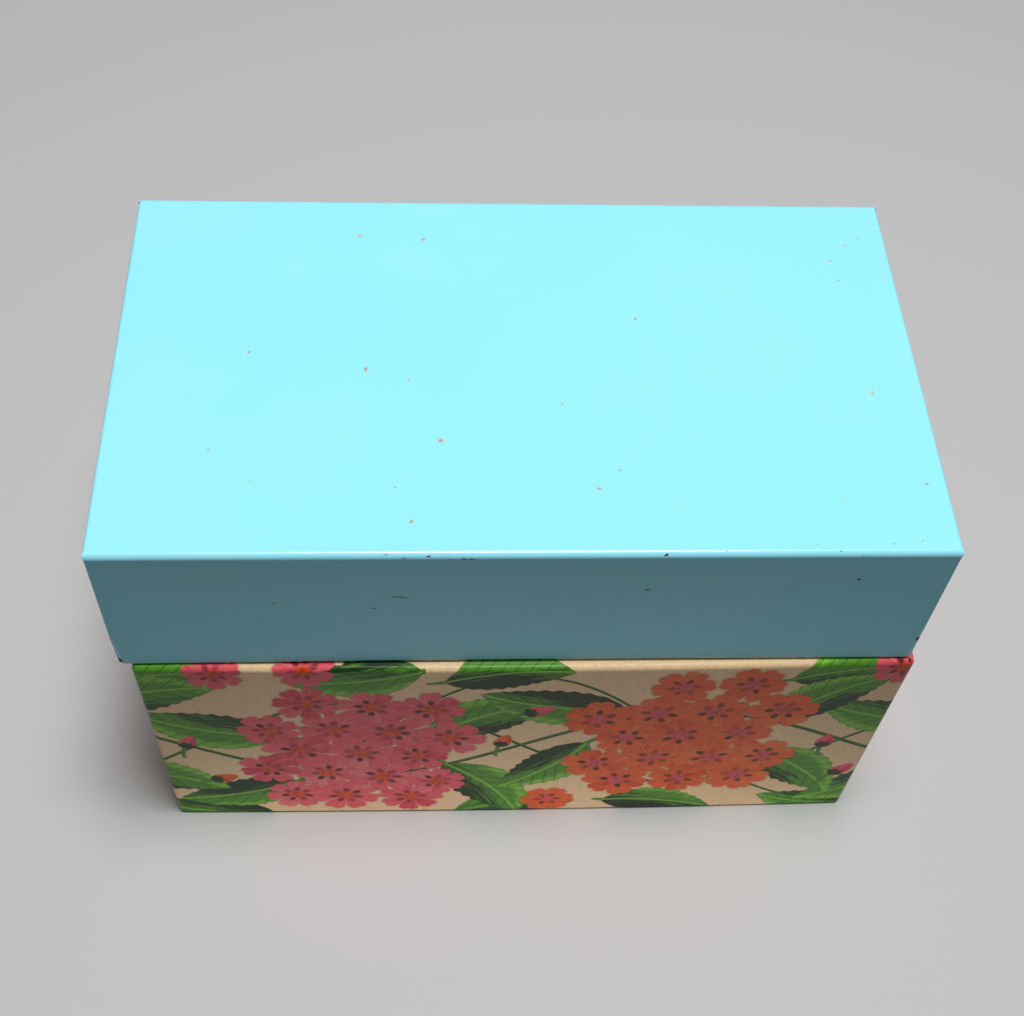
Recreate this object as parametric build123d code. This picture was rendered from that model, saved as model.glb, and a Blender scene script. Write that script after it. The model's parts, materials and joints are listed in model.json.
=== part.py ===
from build123d import *
import os

# A folded tinplate recipe card box with a hinged lid. Millimetres.
# X runs left to right, Y front to back, Z up from the table, which the box stands on at the origin.

# The cards that the box holds
card_width = 127.0
card_side_clearance = 0.65

# Body: one sheet wrapped round four walls, with a ledge and a neck at the top
body_sheet = 0.35
body_bend = 1.0
body_depth = 78.9
ledge_height = 59.1
ledge_width = 2.25
neck_height = 7.0
neck_root_radius = 0.4
neck_hem = 2.5
neck_slit = 0.25
neck_back_gap = 4.0
neck_back_radius = 3.0
foot_flange = 4.5
foot_slit = 0.3
seam_tab = 7.0
seam_groove = 0.2
seam_inset = 1.3
back_hem = 3.5
back_relief = 2.0

# Bottom panel: a shallow tray that sits on the body's turned-in foot
panel_sheet = 0.35
panel_clearance = 0.1
panel_rim = 4.5
panel_bend = 0.75
field_inset = 10.0
field_rise = 0.8
field_corner = 6.0

# Lid: front, top and back in one strip, side walls folded down from the top
lid_sheet = 0.35
lid_bend = 1.3
lid_height = 32.6
lid_side_overhang = 0.4
lid_front_setback = 1.25
lid_gap = 0.35
lid_side_play = 1.6
lid_tab = 6.0
lid_tab_bend = 0.8
lid_hem = 4.0
lid_lower_corner = 2.0

# Hinge: a wire in three knuckles of the lid and two tongues of the body
wire_radius = 0.8
wire_clearance = 0.05
wire_end_inset = 0.4
curl_sweep = 298.0
tongue_width = 14.0
tongue_offset = 38.0
tongue_end_clearance = 0.35
hinge_running_gap = 0.3
knuckle_end_inset = 3.0

# Where the pieces meet
body_width = card_width + 2 * (card_side_clearance + 2 * body_sheet + ledge_width)
side_face = body_width / 2
front_face = -body_depth / 2
back_face = body_depth / 2
neck_top = ledge_height + neck_height

lid_width = body_width + 2 * lid_side_overhang
lid_bottom = ledge_height + lid_gap
lid_top = lid_bottom + lid_height
lid_front = front_face + lid_front_setback
lid_back = back_face
lid_side = lid_width / 2

hinge_y = back_face + wire_radius + wire_clearance
hinge_z = ledge_height + lid_gap / 2
curl_inside = wire_radius + wire_clearance
body_curl_radius = curl_inside + body_sheet
lid_curl_radius = curl_inside + lid_sheet
back_edge = hinge_z - lid_curl_radius
window_top = hinge_z + body_curl_radius + hinge_running_gap
window_width = tongue_width + 2 * (lid_side_play + tongue_end_clearance)
knuckle_reach = lid_side - knuckle_end_inset

least_radius = 0.05
far = 2 * (body_width + body_depth + lid_top)


def block(x, y, z):
    """The box between two corners, given as one (low, high) pair for each axis."""
    size = [high - low for low, high in (x, y, z)]
    middle = [(high + low) / 2 for low, high in (x, y, z)]
    return Pos(*middle) * Box(*size)


def rounded_box(width, depth, bottom, top, radius):
    """A box with every edge rounded alike, as the inside and outside of a bent sheet are."""
    sharp = Pos(0, 0, (bottom + top) / 2) * Box(width, depth, top - bottom)
    return fillet(sharp.edges(), max(radius, least_radius))


def folded_section(points, radii, sheet, side):
    """Section of a bent sheet: points run along one face, and the sheet lies to its left (side 1) or right (-1)."""
    points = [Vector(*point) for point in points]
    runs = [(b - a).normalized() for a, b in zip(points, points[1:])]
    normals = [Vector(-run.Y, run.X) * side for run in runs]
    far_points = [points[0] + normals[0] * sheet]
    far_radii = []
    for corner, radius, n1, n2, r1, r2 in zip(
        points[1:], radii, normals, normals[1:], runs, runs[1:]
    ):
        far_points.append(corner + (n1 + n2) * (sheet / (1 + n1.dot(n2))))
        turn = side * (r1.X * r2.Y - r1.Y * r2.X)
        far_radii.append(max(radius - sheet if turn > 0 else radius + sheet, least_radius))
    far_points.append(points[-1] + normals[-1] * sheet)
    near = FilletPolyline(*points, radius=radii)
    away = FilletPolyline(*far_points, radius=far_radii)
    ends = [Line(points[0], far_points[0]), Line(points[-1], far_points[-1])]
    return make_face([*near.edges(), *away.edges(), *ends])


def hem_section(face_x, edge_y, sheet, height, inward, down):
    """Section of an edge folded flat on itself: face_x is the outer face, and the fold is at edge_y."""
    fold = Vector(face_x + inward * sheet, edge_y + down * sheet)
    flap = Pos(fold.X, fold.Y + down * (height - sheet) / 2) * Rectangle(2 * sheet, height - sheet)
    return flap + Pos(fold.X, fold.Y) * Circle(sheet)


def curl_section(sheet, sweep):
    """Section of a knuckle round the hinge wire, starting where the sheet's plane meets it."""
    outside = CenterArc((hinge_y, hinge_z), curl_inside + sheet, 180, sweep)
    inside = CenterArc((hinge_y, hinge_z), curl_inside, 180, sweep)
    ends = [Line(outside @ 0, inside @ 0), Line(outside @ 1, inside @ 1)]
    return make_face([outside, inside, *ends])


def along_x(section, low, high):
    """A section drawn in (Y, Z), drawn out from x = low to x = high."""
    return Pos(low, 0, 0) * extrude(Plane.YZ * section, amount=high - low)


def along_y(section, low, high):
    """A section drawn in (X, Z), drawn out from y = low to y = high."""
    return Pos(0, high, 0) * extrude(Plane.XZ * section, amount=high - low)


def both_sides(solid):
    return solid + mirror(solid, about=Plane.YZ)


def mitred(outline, bottom, top):
    """A prism over an outline in (X, Y), to trim a strip where it meets its neighbour."""
    return Pos(0, 0, bottom) * extrude(make_face(Polyline(*outline, close=True)), amount=top - bottom)


def neck_section(face):
    """Ledge and neck of one wall, in (inward distance, Z), with the neck's top hemmed inwards."""
    outline = [
        (face + body_bend, ledge_height),
        (face + ledge_width, ledge_height),
        (face + ledge_width, neck_top - body_sheet),
    ]
    sheet = folded_section(outline, [neck_root_radius], body_sheet, -1)
    return sheet + hem_section(face + ledge_width, neck_top, body_sheet, neck_hem, 1, -1)


def neck():
    """The neck on the front and both sides, mitred at the front corners."""
    reach = foot_flange + ledge_width
    bottom, top = ledge_height - 2 * body_sheet, neck_top + body_sheet
    front = along_x(neck_section(front_face), -side_face, side_face) & mitred(
        [
            (-side_face, front_face),
            (side_face, front_face),
            (side_face - reach, front_face + reach),
            (-side_face + reach, front_face + reach),
        ],
        bottom,
        top,
    )
    end = back_face - body_sheet - neck_back_gap
    left = along_y(neck_section(-side_face), front_face, end) & mitred(
        [
            (-side_face, front_face),
            (-side_face, end),
            (-side_face + reach, end),
            (-side_face + reach, front_face + reach),
        ],
        bottom,
        top,
    )
    profile = Pos((front_face + end) / 2, (bottom + top) / 2) * Rectangle(end - front_face, top - bottom)
    profile = fillet(profile.vertices().sort_by(Axis.X)[-2:].sort_by(Axis.Y)[-1], neck_back_radius)
    left &= along_x(profile, -side_face, 0)
    slit_length = 2 * (ledge_width + 2 * body_sheet)
    slit_bottom = ledge_height + neck_root_radius
    slit = Pos(
        -side_face + ledge_width + body_sheet,
        front_face + ledge_width + body_sheet,
        (slit_bottom + top) / 2,
    ) * Rot(0, 0, 45) * Box(slit_length, neck_slit, top - slit_bottom)
    return front + both_sides(left) - both_sides(slit)


def foot_mitres():
    """The slits where the foot's four turned-in flanges meet."""
    start = body_bend
    length = 2 * foot_flange
    slits = []
    for x_sign in (-1, 1):
        for y_sign in (-1, 1):
            slit = Pos(length / 2, 0, 0) * Box(length, foot_slit, 4 * body_sheet)
            turn = Rot(0, 0, 45) if x_sign * y_sign > 0 else Rot(0, 0, -45)
            turn = Rot(0, 0, 180) * turn if x_sign > 0 else turn
            corner = Pos(x_sign * (side_face - start), y_sign * (back_face - start), 0)
            slits.append(corner * turn * slit)
    return slits


def tongue(centre):
    """A tongue of the back wall, curled forwards over the hinge wire."""
    low, high = centre - tongue_width / 2, centre + tongue_width / 2
    stem = block(
        (low, high),
        (back_face - body_sheet, back_face),
        (back_edge - back_hem, hinge_z),
    )
    return stem + along_x(curl_section(body_sheet, -curl_sweep), low, high)


def back_hems():
    """The back wall's upper edge, folded in between and beside the tongues."""
    section = hem_section(back_face, back_edge, body_sheet, back_hem, -1, -1)
    gap = tongue_width / 2 + hinge_running_gap
    outer_end = side_face - 3 * body_bend
    middle = along_x(section, -tongue_offset + gap, tongue_offset - gap)
    return middle + both_sides(along_x(section, tongue_offset + gap, outer_end))


def body_shell():
    outside = rounded_box(body_width, body_depth, 0, ledge_height, body_bend)
    inside = rounded_box(
        body_width - 2 * body_sheet,
        body_depth - 2 * body_sheet,
        body_sheet,
        ledge_height - body_sheet,
        body_bend - body_sheet,
    )
    wall = outside - inside
    mouth = side_face - body_bend
    wall -= block((-mouth, mouth), (front_face + body_bend, far), (ledge_height - 2 * body_sheet, far))
    wall -= block((-far, far), (back_face - back_relief, far), (back_edge - body_sheet, far))
    wall -= block(
        (-side_face + foot_flange, side_face - foot_flange),
        (front_face + foot_flange, back_face - foot_flange),
        (-far, 2 * body_sheet),
    )
    groove = -side_face + seam_inset
    wall -= block(
        (groove, groove + seam_groove),
        (back_face - body_sheet, far),
        (body_bend, far),
    )
    wall += block(
        (-side_face + body_bend, -side_face + body_bend + seam_tab),
        (back_face - 2 * body_sheet, back_face - body_sheet),
        (body_sheet + panel_sheet + panel_rim, back_edge - back_hem),
    )
    for slit in foot_mitres():
        wall -= slit
    wall += neck()
    wall += back_hems()
    wall += tongue(-tongue_offset)
    wall += tongue(tongue_offset)
    return wall


def bottom_panel():
    width = body_width - 2 * (body_sheet + panel_clearance)
    depth = body_depth - 2 * (body_sheet + panel_clearance)
    floor = body_sheet
    rim_top = floor + panel_sheet + panel_rim
    above = rim_top + 2 * panel_bend
    outside = rounded_box(width, depth, floor, above, panel_bend)
    inside = rounded_box(
        width - 2 * panel_sheet,
        depth - 2 * panel_sheet,
        floor + panel_sheet,
        above + panel_bend,
        panel_bend - panel_sheet,
    )
    tray = outside - inside - block((-far, far), (-far, far), (rim_top, far))
    # The field is pressed up at 45 degrees, so its under side is smaller by this much for an even sheet
    slope_offset = panel_sheet * (2**0.5 - 1)
    field_width = width - 2 * field_inset
    field_depth = depth - 2 * field_inset
    raised = extrude(RectangleRounded(field_width, field_depth, field_corner), amount=field_rise, taper=45)
    under = extrude(
        RectangleRounded(
            field_width - 2 * slope_offset,
            field_depth - 2 * slope_offset,
            field_corner - slope_offset,
        ),
        amount=field_rise,
        taper=45,
    )
    return tray + Pos(0, 0, floor + panel_sheet) * raised - Pos(0, 0, floor) * under


def lid_strip():
    """Front wall, top and back wall of the lid, in one strip across its width."""
    section = folded_section(
        [
            (lid_front, lid_bottom + lid_sheet),
            (lid_front, lid_top),
            (lid_back, lid_top),
            (lid_back, hinge_z),
        ],
        [lid_bend, lid_bend],
        lid_sheet,
        -1,
    )
    strip = along_x(section, -lid_side, lid_side)
    bend = lid_side - lid_bend
    over_bend = block((bend, far), (lid_front + lid_bend, lid_back - lid_bend), (-far, far))
    beside_knuckle = block((knuckle_reach, far), (lid_back - 2 * lid_sheet, far), (-far, window_top))
    strip -= both_sides(over_bend) + both_sides(beside_knuckle)
    lower_corners = strip.edges().filter_by(Axis.Y).filter_by(
        lambda edge: edge.center().Y < 0 and edge.center().Z < lid_bottom + 2 * lid_sheet
    )
    return fillet(lower_corners, lid_lower_corner)


def lid_side_wall():
    """The right side wall with its bend up to the top, its two end tabs and its hem."""
    front, back = lid_front + lid_sheet, lid_back - lid_sheet
    plan = folded_section(
        [(lid_side - lid_tab, front), (lid_side, front), (lid_side, back), (lid_side - lid_tab, back)],
        [lid_tab_bend, lid_tab_bend],
        lid_sheet,
        1,
    )
    bottom = lid_bottom + lid_sheet
    wall = Pos(0, 0, bottom) * extrude(plan, amount=lid_top - lid_bend - bottom)
    bend = folded_section(
        [(lid_side, bottom), (lid_side, lid_top), (lid_side - 2 * lid_bend, lid_top)],
        [lid_bend],
        lid_sheet,
        1,
    )
    wall += along_y(bend, lid_front + lid_bend, lid_back - lid_bend)
    hem = hem_section(lid_side, lid_bottom, lid_sheet, lid_hem, -1, 1)
    return wall + along_y(hem, lid_front + lid_lower_corner, lid_back - lid_lower_corner)


def lid_knuckles():
    """Three long knuckles of the back wall, with a window for each of the body's tongues."""
    section = curl_section(lid_sheet, curl_sweep)
    window = tongue_offset - window_width / 2, tongue_offset + window_width / 2
    return along_x(section, -window[0], window[0]) + both_sides(along_x(section, window[1], knuckle_reach))


def lid_shell():
    lid = lid_strip() + both_sides(lid_side_wall())
    hem = hem_section(lid_front, lid_bottom, lid_sheet, lid_hem, 1, 1)
    lid += along_x(hem, -lid_side + lid_lower_corner, lid_side - lid_lower_corner)
    window = block(
        (tongue_offset - window_width / 2, tongue_offset + window_width / 2),
        (lid_back - 2 * lid_sheet, far),
        (-far, window_top),
    )
    lid -= both_sides(window)
    lid += lid_knuckles()
    return Pos(-lid_side_play, 0, 0) * lid


def hinge_pin():
    length = 2 * (knuckle_reach - wire_end_inset)
    wire = Cylinder(wire_radius, length, rotation=(0, 90, 0))
    return Pos(-lid_side_play, hinge_y, hinge_z) * wire


nodes = {
    "body_shell": body_shell(),
    "bottom_panel": bottom_panel(),
    "lid_shell": lid_shell(),
    "hinge_pin": hinge_pin(),
}

# The pieces are drawn about the middle of the body. The origin is under the middle of the whole box, with
# the lid's overhang at the left and the hinge at the back counted in.
leftmost = -lid_side - lid_side_play
rightmost = max(side_face, lid_side - lid_side_play)
rearmost = hinge_y + max(body_curl_radius, lid_curl_radius)
to_origin = Pos(-(leftmost + rightmost) / 2, -(front_face + rearmost) / 2, 0)

os.makedirs("parts", exist_ok=True)
for name, solid in nodes.items():
    export_step(to_origin * solid, f"parts/{name}.step")
    print(name, "volume", round(solid.volume, 1), "solids", len(solid.solids()))
print("body's middle, seen from the origin", to_origin.position)
print("hinge axis at y", round(hinge_y + to_origin.position.Y, 4), "z", round(hinge_z, 4))
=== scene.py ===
import bmesh
import bpy
import json
import math
import random
from mathutils import Matrix, Vector
from mathutils.kdtree import KDTree

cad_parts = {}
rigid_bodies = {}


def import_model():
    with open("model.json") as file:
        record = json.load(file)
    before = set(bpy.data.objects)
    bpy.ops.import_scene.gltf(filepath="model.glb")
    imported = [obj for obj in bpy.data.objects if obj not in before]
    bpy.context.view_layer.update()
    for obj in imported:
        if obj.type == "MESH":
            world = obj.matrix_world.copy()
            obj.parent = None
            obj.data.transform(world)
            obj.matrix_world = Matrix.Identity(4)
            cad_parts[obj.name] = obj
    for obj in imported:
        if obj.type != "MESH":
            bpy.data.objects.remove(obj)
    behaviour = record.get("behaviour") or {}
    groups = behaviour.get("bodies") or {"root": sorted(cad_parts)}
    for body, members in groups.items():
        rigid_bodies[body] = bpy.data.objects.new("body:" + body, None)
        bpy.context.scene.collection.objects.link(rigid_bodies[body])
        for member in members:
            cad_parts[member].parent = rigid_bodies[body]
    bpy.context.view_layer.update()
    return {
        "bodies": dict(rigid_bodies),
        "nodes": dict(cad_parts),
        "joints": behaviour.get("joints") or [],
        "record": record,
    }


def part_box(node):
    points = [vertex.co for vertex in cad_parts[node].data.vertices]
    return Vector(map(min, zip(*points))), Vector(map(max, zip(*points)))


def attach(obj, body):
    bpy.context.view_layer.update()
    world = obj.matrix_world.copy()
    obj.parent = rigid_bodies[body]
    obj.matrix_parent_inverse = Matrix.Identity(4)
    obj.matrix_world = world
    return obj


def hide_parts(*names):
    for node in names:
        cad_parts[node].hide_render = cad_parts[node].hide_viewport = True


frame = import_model()
mm = 0.001
print("frame loaded:", sorted(frame) if isinstance(frame, dict) else "ok")


# ---- node trees: a socket with arithmetic, and one method that adds a node

def operator(operation, swapped=False):
    def apply(self, other):
        pair = [other, self] if swapped else [self, other]
        return self.graph.add("ShaderNodeMath", {"operation": operation}, pair)
    return apply


class Wire:
    def __init__(self, graph, socket):
        self.graph = graph
        self.socket = socket

    __add__, __radd__ = operator("ADD"), operator("ADD", True)
    __sub__, __rsub__ = operator("SUBTRACT"), operator("SUBTRACT", True)
    __mul__, __rmul__ = operator("MULTIPLY"), operator("MULTIPLY", True)
    __truediv__, __rtruediv__ = operator("DIVIDE"), operator("DIVIDE", True)
    __pow__, __rpow__ = operator("POWER"), operator("POWER", True)
    __gt__, __lt__ = operator("GREATER_THAN"), operator("LESS_THAN")

    def maths(self, operation, *others, **settings):
        return self.graph.add("ShaderNodeMath", {"operation": operation, **settings}, [self, *others])

    def clamped(self):
        return self.maths("ADD", 0.0, use_clamp=True)

    def rise(self, low, high):
        # 0 below low, 1 above high, and the other way round if low is the larger
        return self.graph.add(
            "ShaderNodeMapRange", {"interpolation_type": "SMOOTHSTEP"}, [self, low, high, 0.0, 1.0]
        )

    def other(self, output):
        return Wire(self.graph, self.socket.node.outputs[output])


class Graph:
    def __init__(self, tree):
        self.tree = tree

    def add(self, kind, settings=None, values=None, output=0):
        node = self.tree.nodes.new(kind)
        for key, value in (settings or {}).items():
            if key == "stops":
                ramp = node.color_ramp
                while len(ramp.elements) < len(value):
                    ramp.elements.new(0.5)
                for element, (position, colour) in zip(ramp.elements, value):
                    element.position, element.color = position, colour
            else:
                setattr(node, key, value)
        if isinstance(values, (list, tuple)):
            values = dict(enumerate(values))
        for key, value in (values or {}).items():
            if isinstance(value, Wire):
                self.tree.links.new(value.socket, node.inputs[key])
            elif value is not None:
                node.inputs[key].default_value = value
        return Wire(self, node.outputs[output]) if len(node.outputs) else None

    def blend(self, mask, first, second):
        return self.add("ShaderNodeMix", {"data_type": "RGBA"}, {0: mask, 6: first, 7: second}, 2)

    def tint(self, first, second, mask=1.0):
        return self.add(
            "ShaderNodeMix", {"data_type": "RGBA", "blend_type": "MULTIPLY"}, {0: mask, 6: first, 7: second}, 2
        )

    def vector(self, x, y, z=0.0):
        return self.add("ShaderNodeCombineXYZ", None, [x, y, z])

    def split(self, vector):
        x = self.add("ShaderNodeSeparateXYZ", None, [vector])
        return x, x.other("Y"), x.other("Z")

    def onObject(self, x=1.0, y=1.0, z=1.0):
        # object coordinates in mm, each way stretched by its own factor
        place = self.add("ShaderNodeTexCoord", output="Object")
        return self.add(
            "ShaderNodeVectorMath", {"operation": "MULTIPLY"}, [place, (x / mm, y / mm, z / mm)]
        )

    def grain(self, vector, scale, detail=3.0, roughness=0.55, output=0):
        return self.add(
            "ShaderNodeTexNoise",
            None,
            {"Vector": vector, "Scale": scale, "Detail": detail, "Roughness": roughness},
            output,
        )

    def chance(self, value):
        return self.add("ShaderNodeTexWhiteNoise", {"noise_dimensions": "1D"}, {"W": value})

    def bump(self, height, strength, distance, under=None):
        return self.add(
            "ShaderNodeBump", None, {"Strength": strength, "Distance": distance, "Height": height, "Normal": under}
        )


def paint(red, green, blue):
    # a colour as a paint chip shows it, 0 to 255 each
    return (*[(c / 12.92 if c <= 0.04045 else ((c + 0.055) / 1.055) ** 2.4)
              for c in (red / 255, green / 255, blue / 255)], 1.0)


def newFinish(name):
    material = bpy.data.materials.new(name)
    material.use_nodes = True
    material.node_tree.nodes.clear()
    return material, Graph(material.node_tree)


def finishWith(graph, values):
    surface = graph.add("ShaderNodeBsdfPrincipled", None, values)
    graph.add("ShaderNodeOutputMaterial", None, {"Surface": surface})


# ---- bare tinplate, cut edges and wire

tinLook = {"bright": paint(222, 219, 211), "dull": paint(176, 172, 163), "rust": paint(122, 74, 40)}


def bareTin():
    material, g = newFinish("bareTin")
    rolled = g.grain(g.onObject(0.03, 1.2, 1.2), 1.6, 4.0)
    cloud = g.grain(g.onObject(), 0.035, 3.0)
    fine = g.grain(g.onObject(), 1.7, 2.0)
    worn = g.add("ShaderNodeAttribute", {"attribute_name": "wear"}, output="Fac")
    freckles = g.grain(g.onObject(), 0.42, 5.0, 0.7)
    rust = (freckles + worn * 0.13).rise(0.72, 0.78)
    colour = g.blend((cloud * 0.7 + rolled * 0.5).rise(0.35, 0.85), tinLook["dull"], tinLook["bright"])
    colour = g.blend(rust * 0.85, colour, tinLook["rust"])
    finishWith(g, {
        "Base Color": colour,
        "Metallic": 1.0 - rust * 0.8,
        "Roughness": 0.36 + rolled * 0.16 + cloud * 0.12 + rust * 0.3,
        "Normal": g.bump(rolled * 0.6 + fine * 0.25 - rust * 0.8, 0.25, 0.00004),
    })
    return material


def cutEdge():
    material, g = newFinish("cutEdge")
    bite = g.grain(g.onObject(), 1.1, 4.0)
    rust = g.grain(g.onObject(), 0.23, 4.0).rise(0.5, 0.66)
    finishWith(g, {
        "Base Color": g.blend(rust * 0.8, tinLook["dull"], tinLook["rust"]),
        "Metallic": 1.0 - rust * 0.75,
        "Roughness": 0.38 + bite * 0.2,
        "Normal": g.bump(bite, 0.3, 0.00004),
    })
    return material


def drawnWire():
    material, g = newFinish("drawnWire")
    lines = g.grain(g.onObject(0.02, 2.0, 2.0), 2.4, 3.0)
    spots = g.grain(g.onObject(), 0.5, 4.0, 0.7)
    rust = spots.rise(0.6, 0.7)
    finishWith(g, {
        "Base Color": g.blend(rust * 0.8, g.blend(lines, paint(150, 147, 141), paint(190, 187, 180)), tinLook["rust"]),
        "Metallic": 1.0 - rust * 0.7,
        "Roughness": 0.3 + lines * 0.15 + rust * 0.3,
        "Normal": g.bump(lines, 0.2, 0.00003),
    })
    return material


# ---- lid enamel, with the chips and specks that are placed on the blank further down

enamelLook = {
    "colour": paint(150, 234, 253),
    "faded": paint(155, 236, 254),
    "fleck": paint(200, 194, 160),
    "rust": paint(156, 116, 78),
    "chip": paint(70, 62, 56),
    "scratch": paint(146, 130, 90),
}


def lidEnamel():
    material, g = newFinish("lidEnamel")
    cloud = g.grain(g.onObject(), 0.03, 3.0)
    ripple = g.grain(g.onObject(), 0.55, 2.0)
    grit = g.grain(g.onObject(), 1.9, 4.0, 0.65)
    rubbed = g.grain(g.onObject(0.35, 1.0, 1.0), 0.9, 5.0, 0.7)
    colour = g.blend(cloud.rise(0.35, 0.7), enamelLook["colour"], enamelLook["faded"])

    # a placed fault: x and y run to 1 at its rim, z is 0 fleck, 1 chip or 2 scratch
    place = g.add("ShaderNodeAttribute", {"attribute_name": "fault"}, output="Vector")
    x, y, kind = g.split(place)
    far = (x * x + y * y).maths("SQRT") + (grit - 0.5) * 2.2
    spot = far.rise(1.04, 0.86)
    core = far.rise(0.62, 0.3)
    chip = (kind - 1.0).maths("COMPARE", 0.0, 0.4)
    scratch = (kind - 2.0).maths("COMPARE", 0.0, 0.4)
    bare = g.blend(core, enamelLook["fleck"], enamelLook["rust"])
    bare = g.blend(chip, bare, enamelLook["chip"])
    bare = g.blend(scratch, bare, enamelLook["scratch"])
    colour = g.blend(spot * (0.72 + chip * 0.25), colour, bare)

    # rubbed hems, tips and folds
    worn = g.add("ShaderNodeAttribute", {"attribute_name": "wear"}, output="Fac")
    edge = (rubbed + worn * 0.3).rise(0.82, 0.88)
    edgeColour = g.blend(grit.rise(0.42, 0.56), enamelLook["chip"], tinLook["rust"])
    colour = g.blend(edge * 0.9, colour, edgeColour)
    pinholes = g.grain(g.onObject(), 0.6, 4.0, 0.75).rise(0.775, 0.8)
    colour = g.blend(pinholes * 0.7, colour, enamelLook["fleck"])

    broken = spot.maths("MAXIMUM", edge)
    height = ripple * 0.35 + grit * 0.06 - broken * 0.9
    finishWith(g, {
        "Base Color": colour,
        "Roughness": 0.3 + cloud * 0.06 + broken * 0.4,
        "Specular IOR Level": 0.08,
        "Coat Weight": (0.2 + worn.rise(0.3, 0.42) * 0.8 - broken).clamped(),   # the folds are polished by hands
        "Coat Roughness": 0.22,
        "Normal": g.bump(height, 0.35, 0.00005),
    })
    return material


# ---- printed body: a scattered flower print on a cream ground, under varnish

printLook = {
    "ground": paint(255, 220, 173), "stain": paint(244, 208, 160),
    "orange": paint(252, 104, 40), "orangeDeep": paint(234, 80, 26), "orangePale": paint(255, 136, 60),
    "pink": paint(250, 98, 112), "pinkDeep": paint(230, 64, 84), "pinkPale": paint(255, 138, 140),
    "redEye": paint(236, 92, 104), "orangeEye": paint(238, 86, 24), "dot": paint(84, 22, 22),
    "leaf": paint(92, 160, 44), "leafPale": paint(140, 210, 66), "leafDeep": paint(28, 56, 20), "vein": paint(22, 50, 18),
    "stem": paint(88, 150, 44), "stemDark": paint(38, 84, 26),
}
printPlan = {
    "middle": 146.4, "spacing": 60.5, "low": 27.5, "high": 33.5, "ring": 10.7, "outer": 18.8, "far": 21.6, "blossom": 7.0,
    "leafLength": 13.5, "bud": 2.9, "neckStart": 63.4, "seed": 7,
}


def drawVine(g, ground, along, up, phase, middle, swing, width):
    pace = math.pi / printPlan["spacing"]
    wave = (along - printPlan["middle"]) * pace + phase
    line = wave.maths("SINE") * swing + middle
    slope = wave.maths("COSINE") * (swing * pace)
    away = (up - line) / (slope * slope + 1.0).maths("SQRT")
    shade = g.blend(away.rise(-0.1, 0.35), printLook["stemDark"], printLook["stem"])
    return g.blend(away.maths("ABSOLUTE").rise(width + 0.08, width - 0.08), ground, shade)


def drawLeaves(g, ground, name, grit):
    x, y, seed = g.split(g.add("ShaderNodeAttribute", {"attribute_name": name}, output="Vector"))
    inner = (1.0 - x * x).maths("MAXIMUM", 0.0)
    rib = y - inner * 0.14
    away = rib.maths("ABSOLUTE")
    teeth = (x * 31.0 - away * 12.0).maths("SINE") * 0.018
    half = inner ** 0.8 * (0.47 - x * 0.13) + teeth * inner
    inside = (half - away).rise(-0.008, 0.024)
    veins = (x * 26.0 - away * 30.0 + 1.0).maths("SINE").rise(0.9, 0.985)
    streak = g.grain(g.vector(x * 1.2 - away * 2.0, rib * 9.0, seed * 9.0), 1.6, 3.0)
    tone = (rib * 0.9 + streak * 0.9 + seed.maths("FRACT") * 0.3 + x * 0.12)
    colour = g.blend(tone.rise(0.34, 0.62), printLook["leafDeep"], printLook["leaf"])
    colour = g.blend(tone.rise(0.72, 0.86) * (half - away).rise(0.24, 0.1), colour, printLook["leafPale"])
    colour = g.blend(veins * 0.65, colour, printLook["vein"])
    colour = g.blend(away.rise(0.034, 0.014) * 0.9, colour, printLook["leafPale"])
    colour = g.blend((half - away).rise(0.06, 0.02) * (grit.rise(0.4, 0.6)) * 0.5, colour, printLook["leafDeep"])
    stalk = ((x + 1.55) * 0.1 - away).rise(-0.012, 0.012) * x.rise(-0.9, -0.95)
    ground = g.blend(stalk, ground, printLook["stem"])
    return g.blend(inside, ground, colour)


def drawBuds(g, ground, name):
    x, y, seed = g.split(g.add("ShaderNodeAttribute", {"attribute_name": name}, output="Vector"))
    pink = seed.maths("FLOOR")
    half = (1.0 - x * x).maths("MAXIMUM", 0.0).maths("SQRT") * (0.62 - x * 0.22)
    away = y.maths("ABSOLUTE")
    inside = (half - away).rise(-0.03, 0.07)
    colour = g.blend(pink, printLook["orange"], printLook["pink"])
    deep = g.blend(pink, printLook["orangeDeep"], printLook["pinkDeep"])
    colour = g.blend((y * 1.2 + 0.5).rise(0.1, 0.5), deep, colour)
    colour = g.blend((x + 0.2 - (away * 9.0).maths("SINE") * 0.16).rise(-0.02, -0.14), colour, printLook["leafDeep"])
    stalk = (x + 1.7).maths("ABSOLUTE").rise(0.86, 0.74) * (y + (x + 1.0) * (x + 1.0) * 0.16).maths("ABSOLUTE").rise(0.2, 0.12)
    ground = g.blend(stalk, ground, printLook["stem"])
    return g.blend(inside, ground, colour)


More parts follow.
